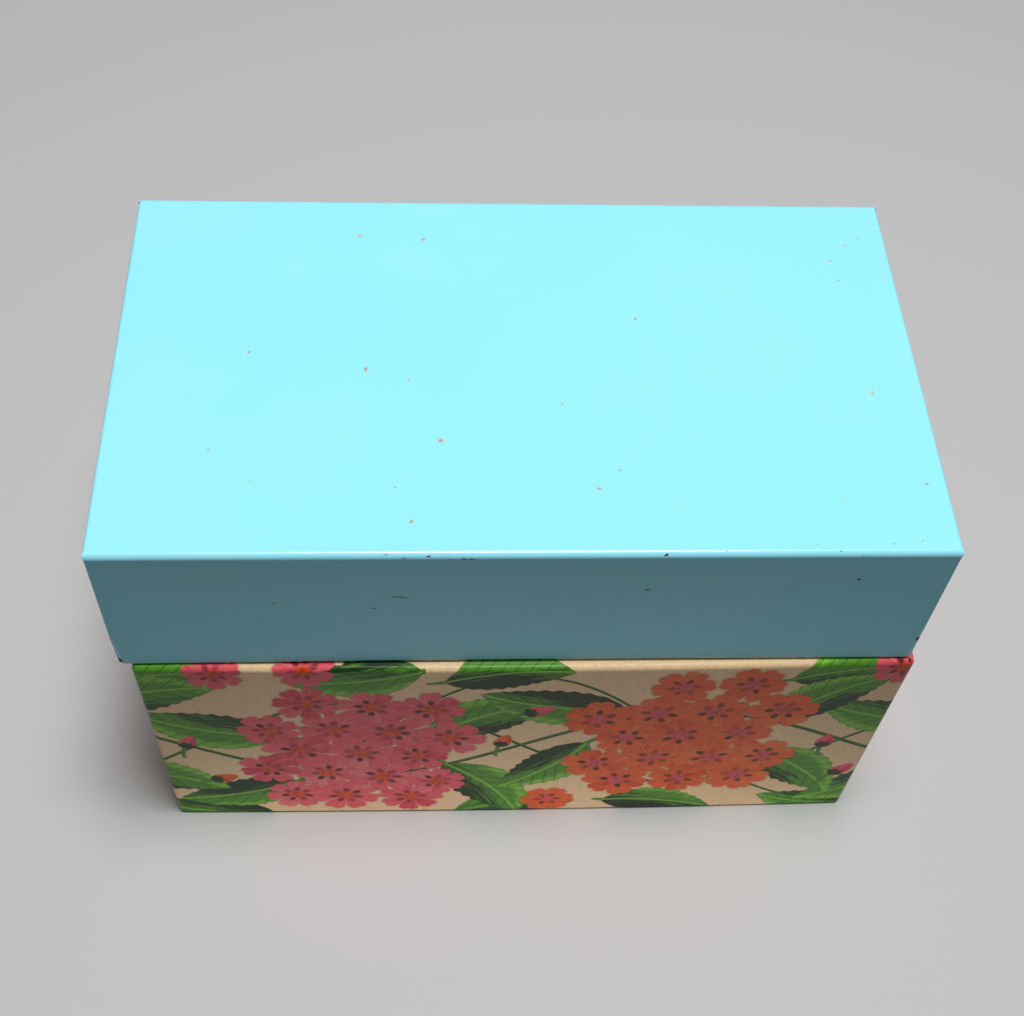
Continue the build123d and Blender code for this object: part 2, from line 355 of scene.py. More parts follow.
def drawBlossoms(g, ground, name, shadowed):
    x, y, seed = g.split(g.add("ShaderNodeAttribute", {"attribute_name": name}, output="Vector"))
    pink = seed.maths("FLOOR")
    far = (x * x + y * y).maths("SQRT")
    petals = 6.0 + pink
    turn = y.maths("ARCTAN2", x) * petals / (2 * math.pi)
    number = turn.maths("ROUND")
    across = (turn - number) * 2.0
    luck = g.chance(number.maths("ADD", petals).maths("WRAP", petals, 0.0) + seed * 31.0)
    side = across.maths("ABSOLUTE")

    # each petal is a rounded paddle with a nick at its tip
    nick = (side * 3.2).rise(1.0, 0.0) * 0.055
    reach = 0.88 + luck * 0.12 - nick
    out = ((far - 0.5).maths("MAXIMUM", 0.0)) / (reach - 0.5)
    broad = side / (1.03 - pink * 0.05)
    shape = 1.0 - out * out - broad ** 3.2
    inside = shape.rise(-0.04, 0.05).maths("MAXIMUM", far.rise(0.36, 0.3))
    shadow = shape.rise(-0.3, -0.12).maths("MAXIMUM", far.rise(0.4, 0.36))

    streak = g.grain(g.vector(turn * 5.5, far * 1.6, seed * 13.0), 1.0, 3.0)
    main = g.blend(pink, printLook["orange"], printLook["pink"])
    deep = g.blend(pink, printLook["orangeDeep"], printLook["pinkDeep"])
    pale = g.blend(pink, printLook["orangePale"], printLook["pinkPale"])
    tone = streak * 0.7 + luck * 0.4 + seed.maths("FRACT") * 0.3 + across * 0.1
    colour = g.blend(tone.rise(0.38, 0.62), deep, main)
    colour = g.blend(tone.rise(0.84, 0.98) * 0.75, colour, pale)
    colour = g.blend(far.rise(0.46, 0.2) * 0.55, colour, deep)
    gap = side.rise(0.9, 0.99) * far.rise(0.2, 0.34)
    colour = g.blend(gap * 0.55, colour, deep)

    # a dark dab at the foot of each petal, and the eye
    dabX = (far - 0.34 - luck * 0.04) * 0.7
    dabY = across * far * math.pi / petals
    dab = (dabX * dabX + dabY * dabY + (streak - 0.5) * 0.006).maths("MAXIMUM", 0.0).maths("SQRT").rise(0.115, 0.06)
    colour = g.blend(dab * (0.25 + luck * 0.9).clamped(), colour, printLook["dot"])
    eye = g.blend(pink, printLook["redEye"], printLook["orangeEye"])
    eyeGrain = g.grain(g.vector(x, y, seed), 9.0, 2.0)
    eye = g.blend(eyeGrain.rise(0.52, 0.6) * 0.5, eye, printLook["dot"])
    colour = g.blend((far + (streak - 0.5) * 0.18).rise(0.25, 0.19), colour, eye)

    ground = g.tint(ground, shadowed, shadow * 0.45)
    return g.blend(inside, ground, colour)


def printedTin():
    material, g = newFinish("printedTin")
    blank = g.add("ShaderNodeUVMap", {"uv_map": "blank"})
    along, up, _ = g.split(blank)
    cloud = g.grain(g.onObject(), 0.028, 4.0)
    grit = g.grain(g.onObject(), 1.6, 4.0, 0.65)
    ripple = g.grain(g.onObject(), 0.6, 2.0)
    plain = g.blend(cloud.rise(0.5, 0.8) * 0.5, printLook["ground"], printLook["stain"])

    colour = drawVine(g, plain, along, up, 0.0, 30.5, 12.0, 0.55)
    colour = drawVine(g, colour, along, up, math.pi, 30.5, 17.0, 0.42)
    colour = drawVine(g, colour, along, up, math.pi / 2, 31.0, 26.0, 0.36)
    for layer in ("leavesTop", "leavesBack", "leavesFront"):
        colour = drawLeaves(g, colour, layer, grit)
    colour = drawBuds(g, colour, "buds")
    for layer in ("blossomsBack", "blossomsMiddle", "blossomsFront"):
        colour = drawBlossoms(g, colour, layer, paint(206, 150, 128))
    colour = g.blend(up.rise(printPlan["neckStart"], printPlan["neckStart"] + 0.3), colour, plain)   # the neck has the ground colour alone
    colour = g.tint(colour, g.blend(grit.rise(0.3, 0.7), paint(238, 236, 232), paint(255, 255, 255)))

    worn = g.add("ShaderNodeAttribute", {"attribute_name": "wear"}, output="Fac")
    rubbed = g.grain(g.onObject(), 0.75, 5.0, 0.7)
    edge = (rubbed + worn * 0.3).rise(0.81, 0.88)
    colour = g.blend(edge * 0.85, colour, g.blend(grit.rise(0.45, 0.55), tinLook["dull"], tinLook["rust"]))
    specks = g.grain(g.onObject(), 0.55, 4.0, 0.75).rise(0.77, 0.8)
    colour = g.blend(specks * 0.75, colour, enamelLook["rust"])
    broken = edge.maths("MAXIMUM", specks)

    finishWith(g, {
        "Base Color": colour,
        "Roughness": 0.34 + cloud * 0.1 + broken * 0.3,
        "Specular IOR Level": 0.12,
        "Coat Weight": (0.1 - broken * 0.1).clamped(),
        "Coat Roughness": 0.16,
        "Normal": g.bump(ripple * 0.35 + grit * 0.08 - broken * 0.8, 0.35, 0.00005),
    })
    return material


finishes = {
    "print": printedTin(), "enamel": lidEnamel(), "tin": bareTin(), "edge": cutEdge(), "wire": drawnWire(),
}
print("finishes made:", ", ".join(finishes))


# ---- sheet metal: the outer face is laid in grid patches, then given its thickness

class Sheet:
    def __init__(self):
        self.mesh = bmesh.new()
        self.blank = self.mesh.loops.layers.uv.new("blank")
        self.wear = self.mesh.verts.layers.float.new("wear")

    def patch(self, across, along, place):
        # place gives a point and its spot on the flat blank, in mm, and how worn it is
        rows = []
        for t in along:
            row = []
            for s in across:
                point, flat, worn = place(s, t)
                vertex = self.mesh.verts.new(point)
                vertex[self.wear] = worn
                row.append((vertex, flat))
            rows.append(row)
        for lower, upper in zip(rows, rows[1:]):
            for corners in zip(lower, lower[1:], upper[1:], upper):
                face = self.mesh.faces.new([vertex for vertex, _ in corners])
                face.smooth = True
                for loop, (_, flat) in zip(face.loops, corners):
                    loop[self.blank].uv = flat
        return rows

    def object(self, name, move):
        bmesh.ops.remove_doubles(self.mesh, verts=self.mesh.verts, dist=0.003)
        flat = [face for face in self.mesh.faces if face.calc_area() < 1e-7]
        bmesh.ops.delete(self.mesh, geom=flat, context="FACES")
        self.mesh.transform(Matrix.Translation(move) @ Matrix.Scale(mm, 4))
        data = bpy.data.meshes.new(name)
        self.mesh.to_mesh(data)
        self.mesh.free()
        made = bpy.data.objects.new(name, data)
        bpy.context.scene.collection.objects.link(made)
        return made


def evenly(low, high, step, *marks):
    # stations from low to high, with the marks among them
    count = max(1, round(abs(high - low) / step))
    values = [low + (high - low) * i / count for i in range(count + 1)]
    inner = [m for m in marks if min(low, high) < m < max(low, high)]
    kept = [v for v in values[1:-1] if all(abs(v - m) > step * 0.3 for m in inner)]
    return sorted([low, *kept, *inner, high], reverse=high < low)


def arc(low, high, count):
    return [math.radians(low + (high - low) * i / count) for i in range(count + 1)]


def swell(value, low, high, run):
    # 0 at both ends, 1 once it is run away from them
    near = max(0.0, min(1.0, min(value - low, high - value) / run))
    return near * near * (3 - 2 * near)


def dent(u, v, seed):
    # a slow ripple between 0 and 1, as thin sheet has between its folds
    return 0.5 + 0.17 * (
        math.sin(u * 0.071 + seed) + math.sin(v * 0.12 - u * 0.043 + 2.1 * seed) + math.sin(v * 0.087 + 0.7 * seed)
    )


def applied(made, name, materials):
    # the object's modifiers go into a plain mesh; a sheet's outside, inside and cut edge take the materials in turn
    made.data.materials.clear()
    for material in materials:
        made.data.materials.append(finishes[material])
    view = bpy.context.evaluated_depsgraph_get()
    data = bpy.data.meshes.new_from_object(made.evaluated_get(view), preserve_all_data_layers=True, depsgraph=view)
    old = made.data
    made.modifiers.clear()
    made.data = data
    bpy.data.meshes.remove(old)
    made.name = data.name = name
    return made


def thicken(made, thickness):
    wall = made.modifiers.new("wall", "SOLIDIFY")
    wall.thickness = thickness * mm
    wall.offset = -1.0
    wall.use_even_offset = True
    wall.use_quality_normals = True
    wall.material_offset = 1
    wall.material_offset_rim = 2


def joined(first, *others):
    # the other meshes go into the first one
    mesh = bmesh.new()
    mesh.from_mesh(first.data)
    for made in others:
        mesh.from_mesh(made.data)
        bpy.data.objects.remove(made)
    mesh.to_mesh(first.data)
    mesh.free()
    return first


def markPlaces(made, name, places):
    # writes, for each face corner, where it lies from the nearest place: (u, v, turn, size, seed)
    data = made.data
    blank = data.uv_layers["blank"].data
    tree = KDTree(len(places))
    for i, place in enumerate(places):
        tree.insert((place[0], place[1], 0), i)
    tree.balance()
    values = [0.0] * (3 * len(data.loops))
    for face in data.polygons:
        spots = [blank[i].uv for i in face.loop_indices]
        middle = sum(spots, Vector((0, 0))) / len(spots)
        u, v, turn, size, seed = places[tree.find((middle.x, middle.y, 0))[1]]
        sizeU, sizeV = size if isinstance(size, tuple) else (size, size)
        c, s = math.cos(turn), math.sin(turn)
        for i, spot in zip(face.loop_indices, spots):
            du, dv = spot.x - u, spot.y - v
            values[3 * i:3 * i + 3] = [(du * c + dv * s) / sizeU, (dv * c - du * s) / sizeV, seed]
    layer = data.attributes.new(name, "FLOAT_VECTOR", "CORNER")
    layer.data.foreach_set("vector", values)


# ---- strips that roll round the hinge wire, made where the points stand

hingeLine = {"back": 39.45, "radius": 0.85, "middleZ": 59.275, "sweep": 298.0, "rows": 46}


def rollTree():
    tree = bpy.data.node_groups.new("rolledStrips", "GeometryNodeTree")
    face = tree.interface
    face.new_socket("Points", in_out="INPUT", socket_type="NodeSocketGeometry")
    for label in ("Straight", "Radius", "Sweep", "Back", "Height", "Up"):
        face.new_socket(label, in_out="INPUT", socket_type="NodeSocketFloat")
    face.new_socket("Rows", in_out="INPUT", socket_type="NodeSocketInt")
    face.new_socket("Metal", in_out="INPUT", socket_type="NodeSocketMaterial")
    face.new_socket("Strips", in_out="OUTPUT", socket_type="NodeSocketGeometry")
    g = Graph(tree)
    points = g.add("NodeGroupInput")
    straight, radius, sweep, back, height, up, rows, metal = [
        points.other(label) for label in ("Straight", "Radius", "Sweep", "Back", "Height", "Up", "Rows", "Metal")
    ]
    strip = g.add("GeometryNodeMeshGrid", None, {"Size X": 1.0, "Size Y": 1.0, "Vertices X": 9, "Vertices Y": rows})
    x, y, _ = g.split(g.add("GeometryNodeInputPosition"))
    run = (y + 0.5) * (straight + radius * sweep)
    turn = (run - straight).maths("MAXIMUM", 0.0) / radius
    short = (straight - run).maths("MAXIMUM", 0.0)
    rolledY = back + radius - turn.maths("COSINE") * radius
    rolledZ = height + up * (turn.maths("SINE") * radius - short)
    strip = g.add(
        "GeometryNodeSetPosition", None, {"Geometry": strip, "Position": g.vector(x, rolledY, rolledZ)}
    )
    turned = g.add("GeometryNodeFlipFaces", None, {"Mesh": strip, "Selection": up > 0.0})
    width = g.add("GeometryNodeInputNamedAttribute", {"data_type": "FLOAT"}, {"Name": "stripWidth"})
    placed = g.add(
        "GeometryNodeInstanceOnPoints",
        None,
        {"Points": points.other("Points"), "Instance": turned, "Scale": g.vector(width, 1.0, 1.0)},
    )
    plain = g.add("GeometryNodeRealizeInstances", None, [placed])
    painted = g.add("GeometryNodeSetMaterial", None, {"Geometry": plain, "Material": metal})
    g.add("NodeGroupOutput", None, [painted])
    return tree


def rolledStrips(name, spans, start, direction, material, move):
    # one strip for each (low, high) span along the wire, from its sheet at height start
    data = bpy.data.meshes.new(name)
    data.from_pydata([((low + high) / 2 * mm + move.x, move.y, 0) for low, high in spans], [], [])
    widths = data.attributes.new("stripWidth", "FLOAT", "POINT")
    widths.data.foreach_set("value", [(high - low) * mm for low, high in spans])
    made = bpy.data.objects.new(name, data)
    bpy.context.scene.collection.objects.link(made)
    roll = made.modifiers.new("roll", "NODES")
    roll.node_group = rollTree()
    values = {
        "Straight": abs(hingeLine["middleZ"] - start) * mm, "Radius": hingeLine["radius"] * mm,
        "Sweep": math.radians(hingeLine["sweep"]), "Back": hingeLine["back"] * mm,
        "Height": hingeLine["middleZ"] * mm, "Up": float(direction), "Rows": hingeLine["rows"],
        "Metal": finishes[material],
    }
    for item in roll.node_group.interface.items_tree:
        if item.in_out == "INPUT" and item.name in values:
            roll[item.identifier] = values[item.name]
    view = bpy.context.evaluated_depsgraph_get()
    flat = bpy.data.meshes.new_from_object(made.evaluated_get(view), depsgraph=view)
    made.modifiers.clear()
    made.data = flat
    for face in flat.polygons:
        face.use_smooth = True
    return made


# ---- the body: one sheet wrapped round the walls, with foot, ledge, neck, back hems and two tongues

bodySheet = {
    "width": 134.2, "depth": 78.9, "height": 59.1, "sheet": 0.35, "bend": 1.0, "bendSteps": 10, "step": 2.2,
    "ledge": 2.25, "root": 0.4, "neckTop": 66.1, "neckHem": 2.5, "neckEnd": 35.1, "neckRound": 3.0, "neckSlit": 0.125,
    "foot": 4.5, "footSlit": 0.15, "fold": 0.38, "backEdge": 58.075, "backHem": 3.5, "relief": 2.0,
    "bow": 0.5, "sag": 0.45, "seam": -65.8, "seamGap": 0.2, "lap": 7.0, "tongue": 14.0, "tongueAt": 38.0, "ripple": 0.16,
}
bodyLow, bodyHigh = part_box("body_shell")
bodyMove = Vector(((bodyLow.x + bodyHigh.x) / 2, bodyLow.y + bodySheet["depth"] / 2 * mm, 0))


def bodyStations():
    # the way round the outside, starting at the seam near the back left corner
    b = bodySheet
    bend, steps, step = b["bend"], b["bendSteps"], b["step"]
    x, y = b["width"] / 2 - bend, b["depth"] / 2 - bend
    gap = b["tongue"] / 2 + 0.3
    ends = [b["neckEnd"] - b["neckRound"] * (1 - math.cos(a)) for a in arc(0, 90, 5)]
    tongueMarks = [sign * (b["tongueAt"] + offset) for sign in (-1, 1) for offset in (-gap, gap, -7.0, 7.0)]
    sideMarks = [*ends, b["depth"] / 2 - b["relief"], -y + 0.3, y - 0.3]
    stations = {}
    u = 0.0

    def straight(name, fixed, values, normal):
        nonlocal u
        stations[name] = []
        for value, following in zip(values, values[1:] + values[-1:]):
            point = (fixed, value) if normal[0] else (value, fixed)
            stations[name].append((point, normal, u))
            u += abs(following - value)

    def corner(name, centre, low):
        nonlocal u
        stations[name] = [(centre, (math.cos(a), math.sin(a)), u + bend * (a - math.radians(low)))
                          for a in arc(low, low + 90, steps)]
        u += bend * math.pi / 2

    straight("stub", y, [b["seam"], -x], (0, 1))
    corner("backLeft", (-x, y), 90)
    straight("left", -x, evenly(y, -y, step, *sideMarks), (-1, 0))
    corner("frontLeft", (-x, -y), 180)
    straight("front", -y, evenly(-x, x, step, -x + 0.3, x - 0.3), (0, -1))
    corner("frontRight", (x, -y), 270)
    straight("right", x, evenly(-y, y, step, *sideMarks), (1, 0))
    corner("backRight", (x, y), 0)
    back = evenly(x, b["seam"] + b["seamGap"], step, x - 0.3, x - 2.0, -x + 2.0, *tongueMarks)
    straight("back", y, back, (0, 1))
    return stations


def bodyPoint(station, inset, z, slit=0.0):
    # a point of the wall's outer face, moved in by inset; past the bend the ends draw in as a mitre does
    b = bodySheet
    (qx, qy), (nx, ny), u = station
    bend = b["bend"]
    if inset > bend:
        endX, endY = b["width"] / 2 - bend, b["depth"] / 2 - bend
        draw = inset - bend + slit
        if ny:
            near = max(0.0, (abs(qx) - endX + 10) / 10)
            return qx - math.copysign(near * draw, qx), qy - ny * (inset - bend), z
        near = max(0.0, (abs(qy) - endY + 10) / 10) if (qy < 0 or z < bend) else 0.0
        return qx - nx * (inset - bend), qy - math.copysign(near * draw, qy), z
    out = bend - inset
    return qx + nx * out, qy + ny * out, z


def settled(point):
    # the front stands a little prouder in its middle than at its ends, and its ledge has sunk there
    b = bodySheet
    x, y, z = point
    half, front = b["width"] / 2, b["depth"] / 2
    middle = max(0.0, 1 - (x / half) ** 2)
    near = max(0.0, min(1.0, (-y - front + 30) / 30))
    rim = max(0.0, min(1.0, (z - b["height"] + 16) / 15)) if z <= b["height"] else 1.0
    outward = max(0.0, min(1.0, (-y - front + b["ledge"] + 0.6) / 1.6))
    return x, y + b["bow"] * (1 - middle) * near, z - b["sag"] * middle ** 1.5 * rim ** 2 * outward


def bodyShell():
    b = bodySheet
    bend, height, fold = b["bend"], b["height"], b["fold"]
    stations = bodyStations()
    sheet = Sheet()
    backTop = b["backEdge"] - fold
    quarter = bend * math.pi / 2
    halfLength = {"front": b["width"] / 2, "back": b["width"] / 2, "left": b["depth"] / 2, "right": b["depth"] / 2}

    # levels are (inset, z, distance up the blank, wear)
    footLevels = [(d, 0.0, bend - d, 0.55) for d in evenly(b["foot"], bend, 0.9, bend + 0.3)]
    footBend = [(bend - bend * math.cos(a), bend + bend * math.sin(a), bend * (a + math.pi / 2), 0.8)
                for a in arc(-90, 0, b["bendSteps"])]
    wall = [(0.0, z, quarter + z - bend, max(0.0, 0.5 - z * 0.12))
            for z in evenly(bend, height - bend, b["step"], bend + 0.3, backTop)]
    shoulder = [(bend - bend * math.cos(a), height - bend + bend * math.sin(a),
                 quarter + height - 2 * bend + bend * a, 0.35)
                for a in arc(0, 90, b["bendSteps"])]
    top = shoulder[-1][2]
    flatEnd = b["ledge"] - b["root"]
    ledge = [(bend, height, top, 0.2), (flatEnd, height, top + flatEnd - bend, 0.2)]
    root = [(flatEnd + b["root"] * math.sin(a), height + b["root"] * (1 - math.cos(a)),
             ledge[-1][2] + b["root"] * a, 0.2) for a in arc(0, 90, 5)]
    neckStart, neckFold = height + b["root"], b["neckTop"] - fold
    neck = [(b["ledge"], z, root[-1][2] + z - neckStart, 0.3) for z in evenly(neckStart, neckFold, 1.5)]
    foldUp = neck[-1][2]
    neckTurn = [(b["ledge"] + fold - fold * math.cos(a), neckFold + fold * math.sin(a), foldUp + fold * a, 0.75)
                for a in arc(0, 180, 8)]
    flap = [(b["ledge"] + 2 * fold, z, foldUp + fold * math.pi + neckFold - z, 0.3)
            for z in evenly(neckFold, b["neckTop"] - b["neckHem"], 1.0)]

    def wallPlace(name):
        def place(station, level):
            inset, z, v, worn = level
            if name in halfLength and name != "front" and inset == 0.0:
                half = halfLength[name]
                where = station[0][0] if station[1][1] else station[0][1]
                inset += (b["ripple"] * swell(where, -half + bend, half - bend, 22) * swell(z, bend, height - bend, 14)
                          * dent(station[2], z, len(name)))
                inset = min(inset, bend)
            return settled(bodyPoint(station, inset, z)), (station[2], v), worn
        return place

    def neckPlace(station, level):
        inset, z, v, worn = level
        opened = b["neckSlit"] * math.sqrt(2) if z > neckStart + 0.01 else 0.0
        if station[1][0]:
            start = b["neckEnd"] - b["neckRound"]
            over = max(0.0, station[0][1] - start) / b["neckRound"]
            drop = b["neckRound"] * (1 - math.sqrt(max(0.0, 1 - over * over)))
            share = max(0.0, (z - neckStart) / (b["neckTop"] - neckStart))
            z -= drop * share
        return settled(bodyPoint(station, inset, z, opened)), (station[2], v), worn

    sideEnd = b["depth"] / 2 - b["relief"]
    for name in ("left", "frontLeft", "front", "frontRight", "right"):
        line = [s for s in stations[name] if name not in ("left", "right") or s[0][1] <= sideEnd + 1e-6]
        sheet.patch(line, [*footBend, *wall[1:], *shoulder[1:]], wallPlace(name))
    low = [level for level in wall if level[1] <= backTop + 1e-6]
    for name in ("left", "right"):
        line = [s for s in stations[name] if s[0][1] >= sideEnd - 1e-6]
        sheet.patch(line, [*footBend, *low[1:]], wallPlace("corner"))
    for name in ("stub", "backLeft", "backRight", "back"):
        sheet.patch(stations[name], [*footBend, *low[1:]], wallPlace(name))
    for name in ("left", "front", "right", "back"):
        line = [s for s in stations[name]]
        if name == "back":
            line = [*line, *stations["stub"]]
        sheet.patch(line, footLevels, lambda s, t: (
            settled(bodyPoint(s, t[0], t[1], b["footSlit"] * math.sqrt(2) * min(1, (t[0] - bend) / 0.3))), (s[2], t[2]), t[3]))
    for name in ("left", "front", "right"):
        line = [s for s in stations[name] if name == "front" or s[0][1] <= b["neckEnd"] + 1e-6]
        sheet.patch(line, [*ledge, *root[1:], *neck[1:], *neckTurn[1:], *flap[1:]], neckPlace)

    # the back wall's upper edge, folded in beside and between the tongues
    gap = b["tongue"] / 2 + 0.3
    hem = [(fold - fold * math.cos(a), backTop + fold * math.sin(a), low[-1][2] + fold * a, 0.8)
           for a in arc(0, 180, 8)]
    hem += [(2 * fold, z, low[-1][2] + fold * math.pi + backTop - z, 0.3)
            for z in evenly(backTop, b["backEdge"] - b["backHem"], 1.2)[1:]]
    for low_, high_ in ((-64.1, -b["tongueAt"] - gap), (-b["tongueAt"] + gap, b["tongueAt"] - gap), (b["tongueAt"] + gap, 64.1)):
        line = [s for s in stations["back"] if low_ - 1e-3 <= s[0][0] <= high_ + 1e-3]
        sheet.patch(line, hem, lambda s, t: (bodyPoint(s, min(t[0], 0.99), t[1]), (s[2], t[2]), t[3]))

    # the lap behind the seam
    lapFace = b["depth"] / 2 - b["sheet"] - 0.01
    lapLow, lapHigh = 5.3, b["backEdge"] - b["backHem"]
    sheet.patch(
        evenly(-b["width"] / 2 + bend + b["lap"], -b["width"] / 2 + bend, 1.4),
        evenly(lapLow, lapHigh, 4.0),
        lambda s, t: ((s, lapFace, t), (460.0 - s, t), 0.4),
    )
    made = sheet.object("bodyFace", bodyMove)
    spans = [(side * b["tongueAt"] - b["tongue"] / 2, side * b["tongueAt"] + b["tongue"] / 2) for side in (-1, 1)]
    tongues = rolledStrips("tongues", spans, backTop, 1, "tin", bodyMove)
    made = joined(made, tongues)
    thicken(made, b["sheet"])
    made = applied(made, "bodyShell", ["print", "tin", "edge"])
    made.data.set_sharp_from_angle(angle=math.radians(38))
    return made


def flowerPlaces():
    # posies stand low and high by turns, each two rings of blossoms with leaves behind; buds fill the gaps
    p = printPlan
    pick = random.Random(p["seed"])
    blossomLayers = ("blossomsBack", "blossomsMiddle", "blossomsFront")
    places = {name: [] for name in ("leavesTop", "leavesBack", "leavesFront", "buds", *blossomLayers)}

    def blossom(layer, u, v, angle, away, pink, scale=1.0):
        places[layer].append((u + away * math.cos(angle), v + away * math.sin(angle), pick.uniform(0, 6.28),
                              p["blossom"] * scale * pick.uniform(0.93, 1.05), pink + pick.uniform(0.05, 0.9)))

    def leaf(layer, u, v, angle, away, turn, scale=1.0):
        places[layer].append((u + away * math.cos(angle), v + away * math.sin(angle), turn,
                              p["leafLength"] * scale * pick.uniform(0.92, 1.06), pick.uniform(0.05, 0.95)))

    for k in range(-3, 7):
        pink = (k + 1) % 2
        high = k % 2
        u, v = p["middle"] + (k - 0.5) * p["spacing"], p["high"] if high else p["low"]
        tilt = pick.uniform(-0.25, 0.25)
        for i in range(6):
            blossom(blossomLayers[i % 2], u, v, tilt + i * math.pi / 3, p["ring"] + pick.uniform(-0.6, 0.6), pink)
        blossom("blossomsFront", u, v, 0.0, pick.uniform(-0.8, 0.8), pink)
        missing = pick.randrange(6)
        for i in range(6):
            angle = tilt + (i + 0.5) * math.pi / 3 + pick.uniform(-0.1, 0.1)
            blossom("blossomsFront", u, v, angle, p["outer"] + pick.uniform(-0.8, 0.8), pink, 0.97)
            angle = tilt + i * math.pi / 3 + pick.uniform(-0.06, 0.06)
            if i != missing and abs(math.sin(angle)) > 0.6:
                blossom(blossomLayers[(i + 1) % 2], u, v, angle, p["far"] + pick.uniform(-0.5, 0.5), pink, 0.95)
        for angle in (28, 152, 211, 327):
            angle = math.radians(angle + pick.uniform(-7, 7))
            leaf("leavesFront" if high else "leavesBack", u, v, angle, p["ring"] + 18.0, angle + pick.uniform(-0.5, 0.5))
        between = u + p["spacing"] / 2
        leaf("leavesTop", between - 3, 56.5 + pick.uniform(-1, 1), 0, 0, pick.choice((0.15, 3.0)), 0.86)
        leaf("leavesTop", u + pick.uniform(-3, 1), 57.0 if not high else 3.0, 0, 0, pick.choice((-0.2, 0.2, 3.3)), 0.86)
        leaf("leavesTop", between, 3.5 + pick.uniform(-1, 1), 0, 0, pick.choice((0.2, 2.9)), 0.9)
        blossom("blossomsMiddle", between + pick.uniform(4, 7), 58.0 if high else 6.0, 0, 0, high, 0.86)
        if not high:
            blossom("blossomsBack", u + pick.uniform(-9, -5), 59.0, 0, 0, pink, 0.86)
        for budU, budV, turn in ((between - 2, 31.0, 1.4), (between + 4, 17.0 if high else 45.0, 0.6)):
            places["buds"].append((budU + pick.uniform(-1.5, 1.5), budV + pick.uniform(-1.5, 1.5),
                                   turn + pick.uniform(-0.4, 0.4), p["bud"] * pick.uniform(0.88, 1.1),
                                   pick.choice((0, 1)) + 0.5))
    return places


body = bodyShell()
for layerName, layerPlaces in flowerPlaces().items():
    markPlaces(body, layerName, layerPlaces)
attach(body, "base")
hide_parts("body_shell")
print("body made:", len(body.data.polygons), "faces")


# ---- the bottom: a shallow tray with a pressed field, standing on the body's foot

bottomTray = {
    "width": 133.3, "depth": 78.0, "under": 0.35, "rim": 4.5, "sheet": 0.35, "bend": 0.75, "fieldInset": 10.0,
    "rise": 0.8, "fieldCorner": 6.0, "cornerSteps": 8,
}


def bottomPanel():
    t = bottomTray
    halfX, halfY, bend, under = t["width"] / 2, t["depth"] / 2, t["bend"], t["under"]
    top = under + t["sheet"] + t["rim"]
    lower = t["sheet"] * (math.sqrt(2) - 1)
    fieldX, fieldY, fieldR = halfX - t["fieldInset"] - lower, halfY - t["fieldInset"] - lower, t["fieldCorner"] - lower
    soft = 0.35
    # rings from the field outwards and up: (half width, half depth, corner radius, z)
    rings = [(fieldX - t["rise"] - soft, fieldY - t["rise"] - soft, fieldR - t["rise"] - soft, under + t["rise"])]
    rings += [(fieldX - t["rise"] - soft * (1 - k), fieldY - t["rise"] - soft * (1 - k), fieldR - t["rise"] - soft * (1 - k),
               under + t["rise"] - soft * k * k * 0.5) for k in (0.25, 0.5, 0.75, 1.0)]
    rings += [(fieldX - soft * (1 - k) * 0, fieldY, fieldR, under + soft * 0.5) for k in (1.0,)]
    rings += [(fieldX + soft * k, fieldY + soft * k, fieldR + soft * k, under + soft * 0.5 * (1 - k) ** 2)
              for k in (0.25, 0.5, 0.75, 1.0)]
    flatX, flatY = halfX - bend, halfY - bend
    start = (rings[-1][0], rings[-1][1], rings[-1][2])
    rings += [(start[0] + (flatX - start[0]) * k, start[1] + (flatY - start[1]) * k,
               start[2] + (0.05 - start[2]) * k, under) for k in (0.25, 0.5, 0.75, 0.96, 1.0)]
    rings += [(flatX + bend * math.sin(a), flatY + bend * math.sin(a), bend * math.sin(a) + 0.05, under + bend * (1 - math.cos(a)))
              for a in arc(0, 90, 6)[1:]]
    rings += [(halfX, halfY, bend + 0.05, z) for z in evenly(under + bend, top, 1.3, under + bend + 0.2)[1:]]
    stations = []
    for side, (nx, ny) in enumerate(((-1, 0), (0, -1), (1, 0), (0, 1))):
        for k in evenly(-1, 1, 0.05)[:-1]:
            stations.append((nx, ny, k, 0.0))
        for a in arc(0, 90, t["cornerSteps"])[:-1]:
            stations.append((nx, ny, 1.0, a))
    stations.append(stations[0])

    def place(station, ring):
        nx, ny, k, a = station
        x, y, r, z = ring
        tangent = (-ny, nx)
        # seen from outside the way round runs to the right
        px = nx * (x - r) + tangent[0] * k * (x - r)
        py = ny * (y - r) + tangent[1] * k * (y - r)
        normal = (nx * math.cos(a) + tangent[0] * math.sin(a), ny * math.cos(a) + tangent[1] * math.sin(a))
        worn = 0.5 if z > 1.2 else 0.15
        return settled((px + normal[0] * r, py + normal[1] * r, z)), (px, py), worn

    sheet = Sheet()
    rows = sheet.patch(stations, rings, place)
    field = sheet.mesh.faces.new([vertex for vertex, _ in rows[0][:-1]][::-1])
    field.normal_update()
    if field.normal.z > 0:
        field.normal_flip()
    made = sheet.object("bottomFace", bodyMove)
    thicken(made, t["sheet"])
    made = applied(made, "bottomPanel", ["tin", "tin", "edge"])
    made.data.set_sharp_from_angle(angle=math.radians(35))
    return made


bottom = bottomPanel()
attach(bottom, "base")
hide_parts("bottom_panel")
print("bottom made:", len(bottom.data.polygons), "faces")


# ---- the lid: front, top and back in one strip, side walls folded down, three knuckles at the back

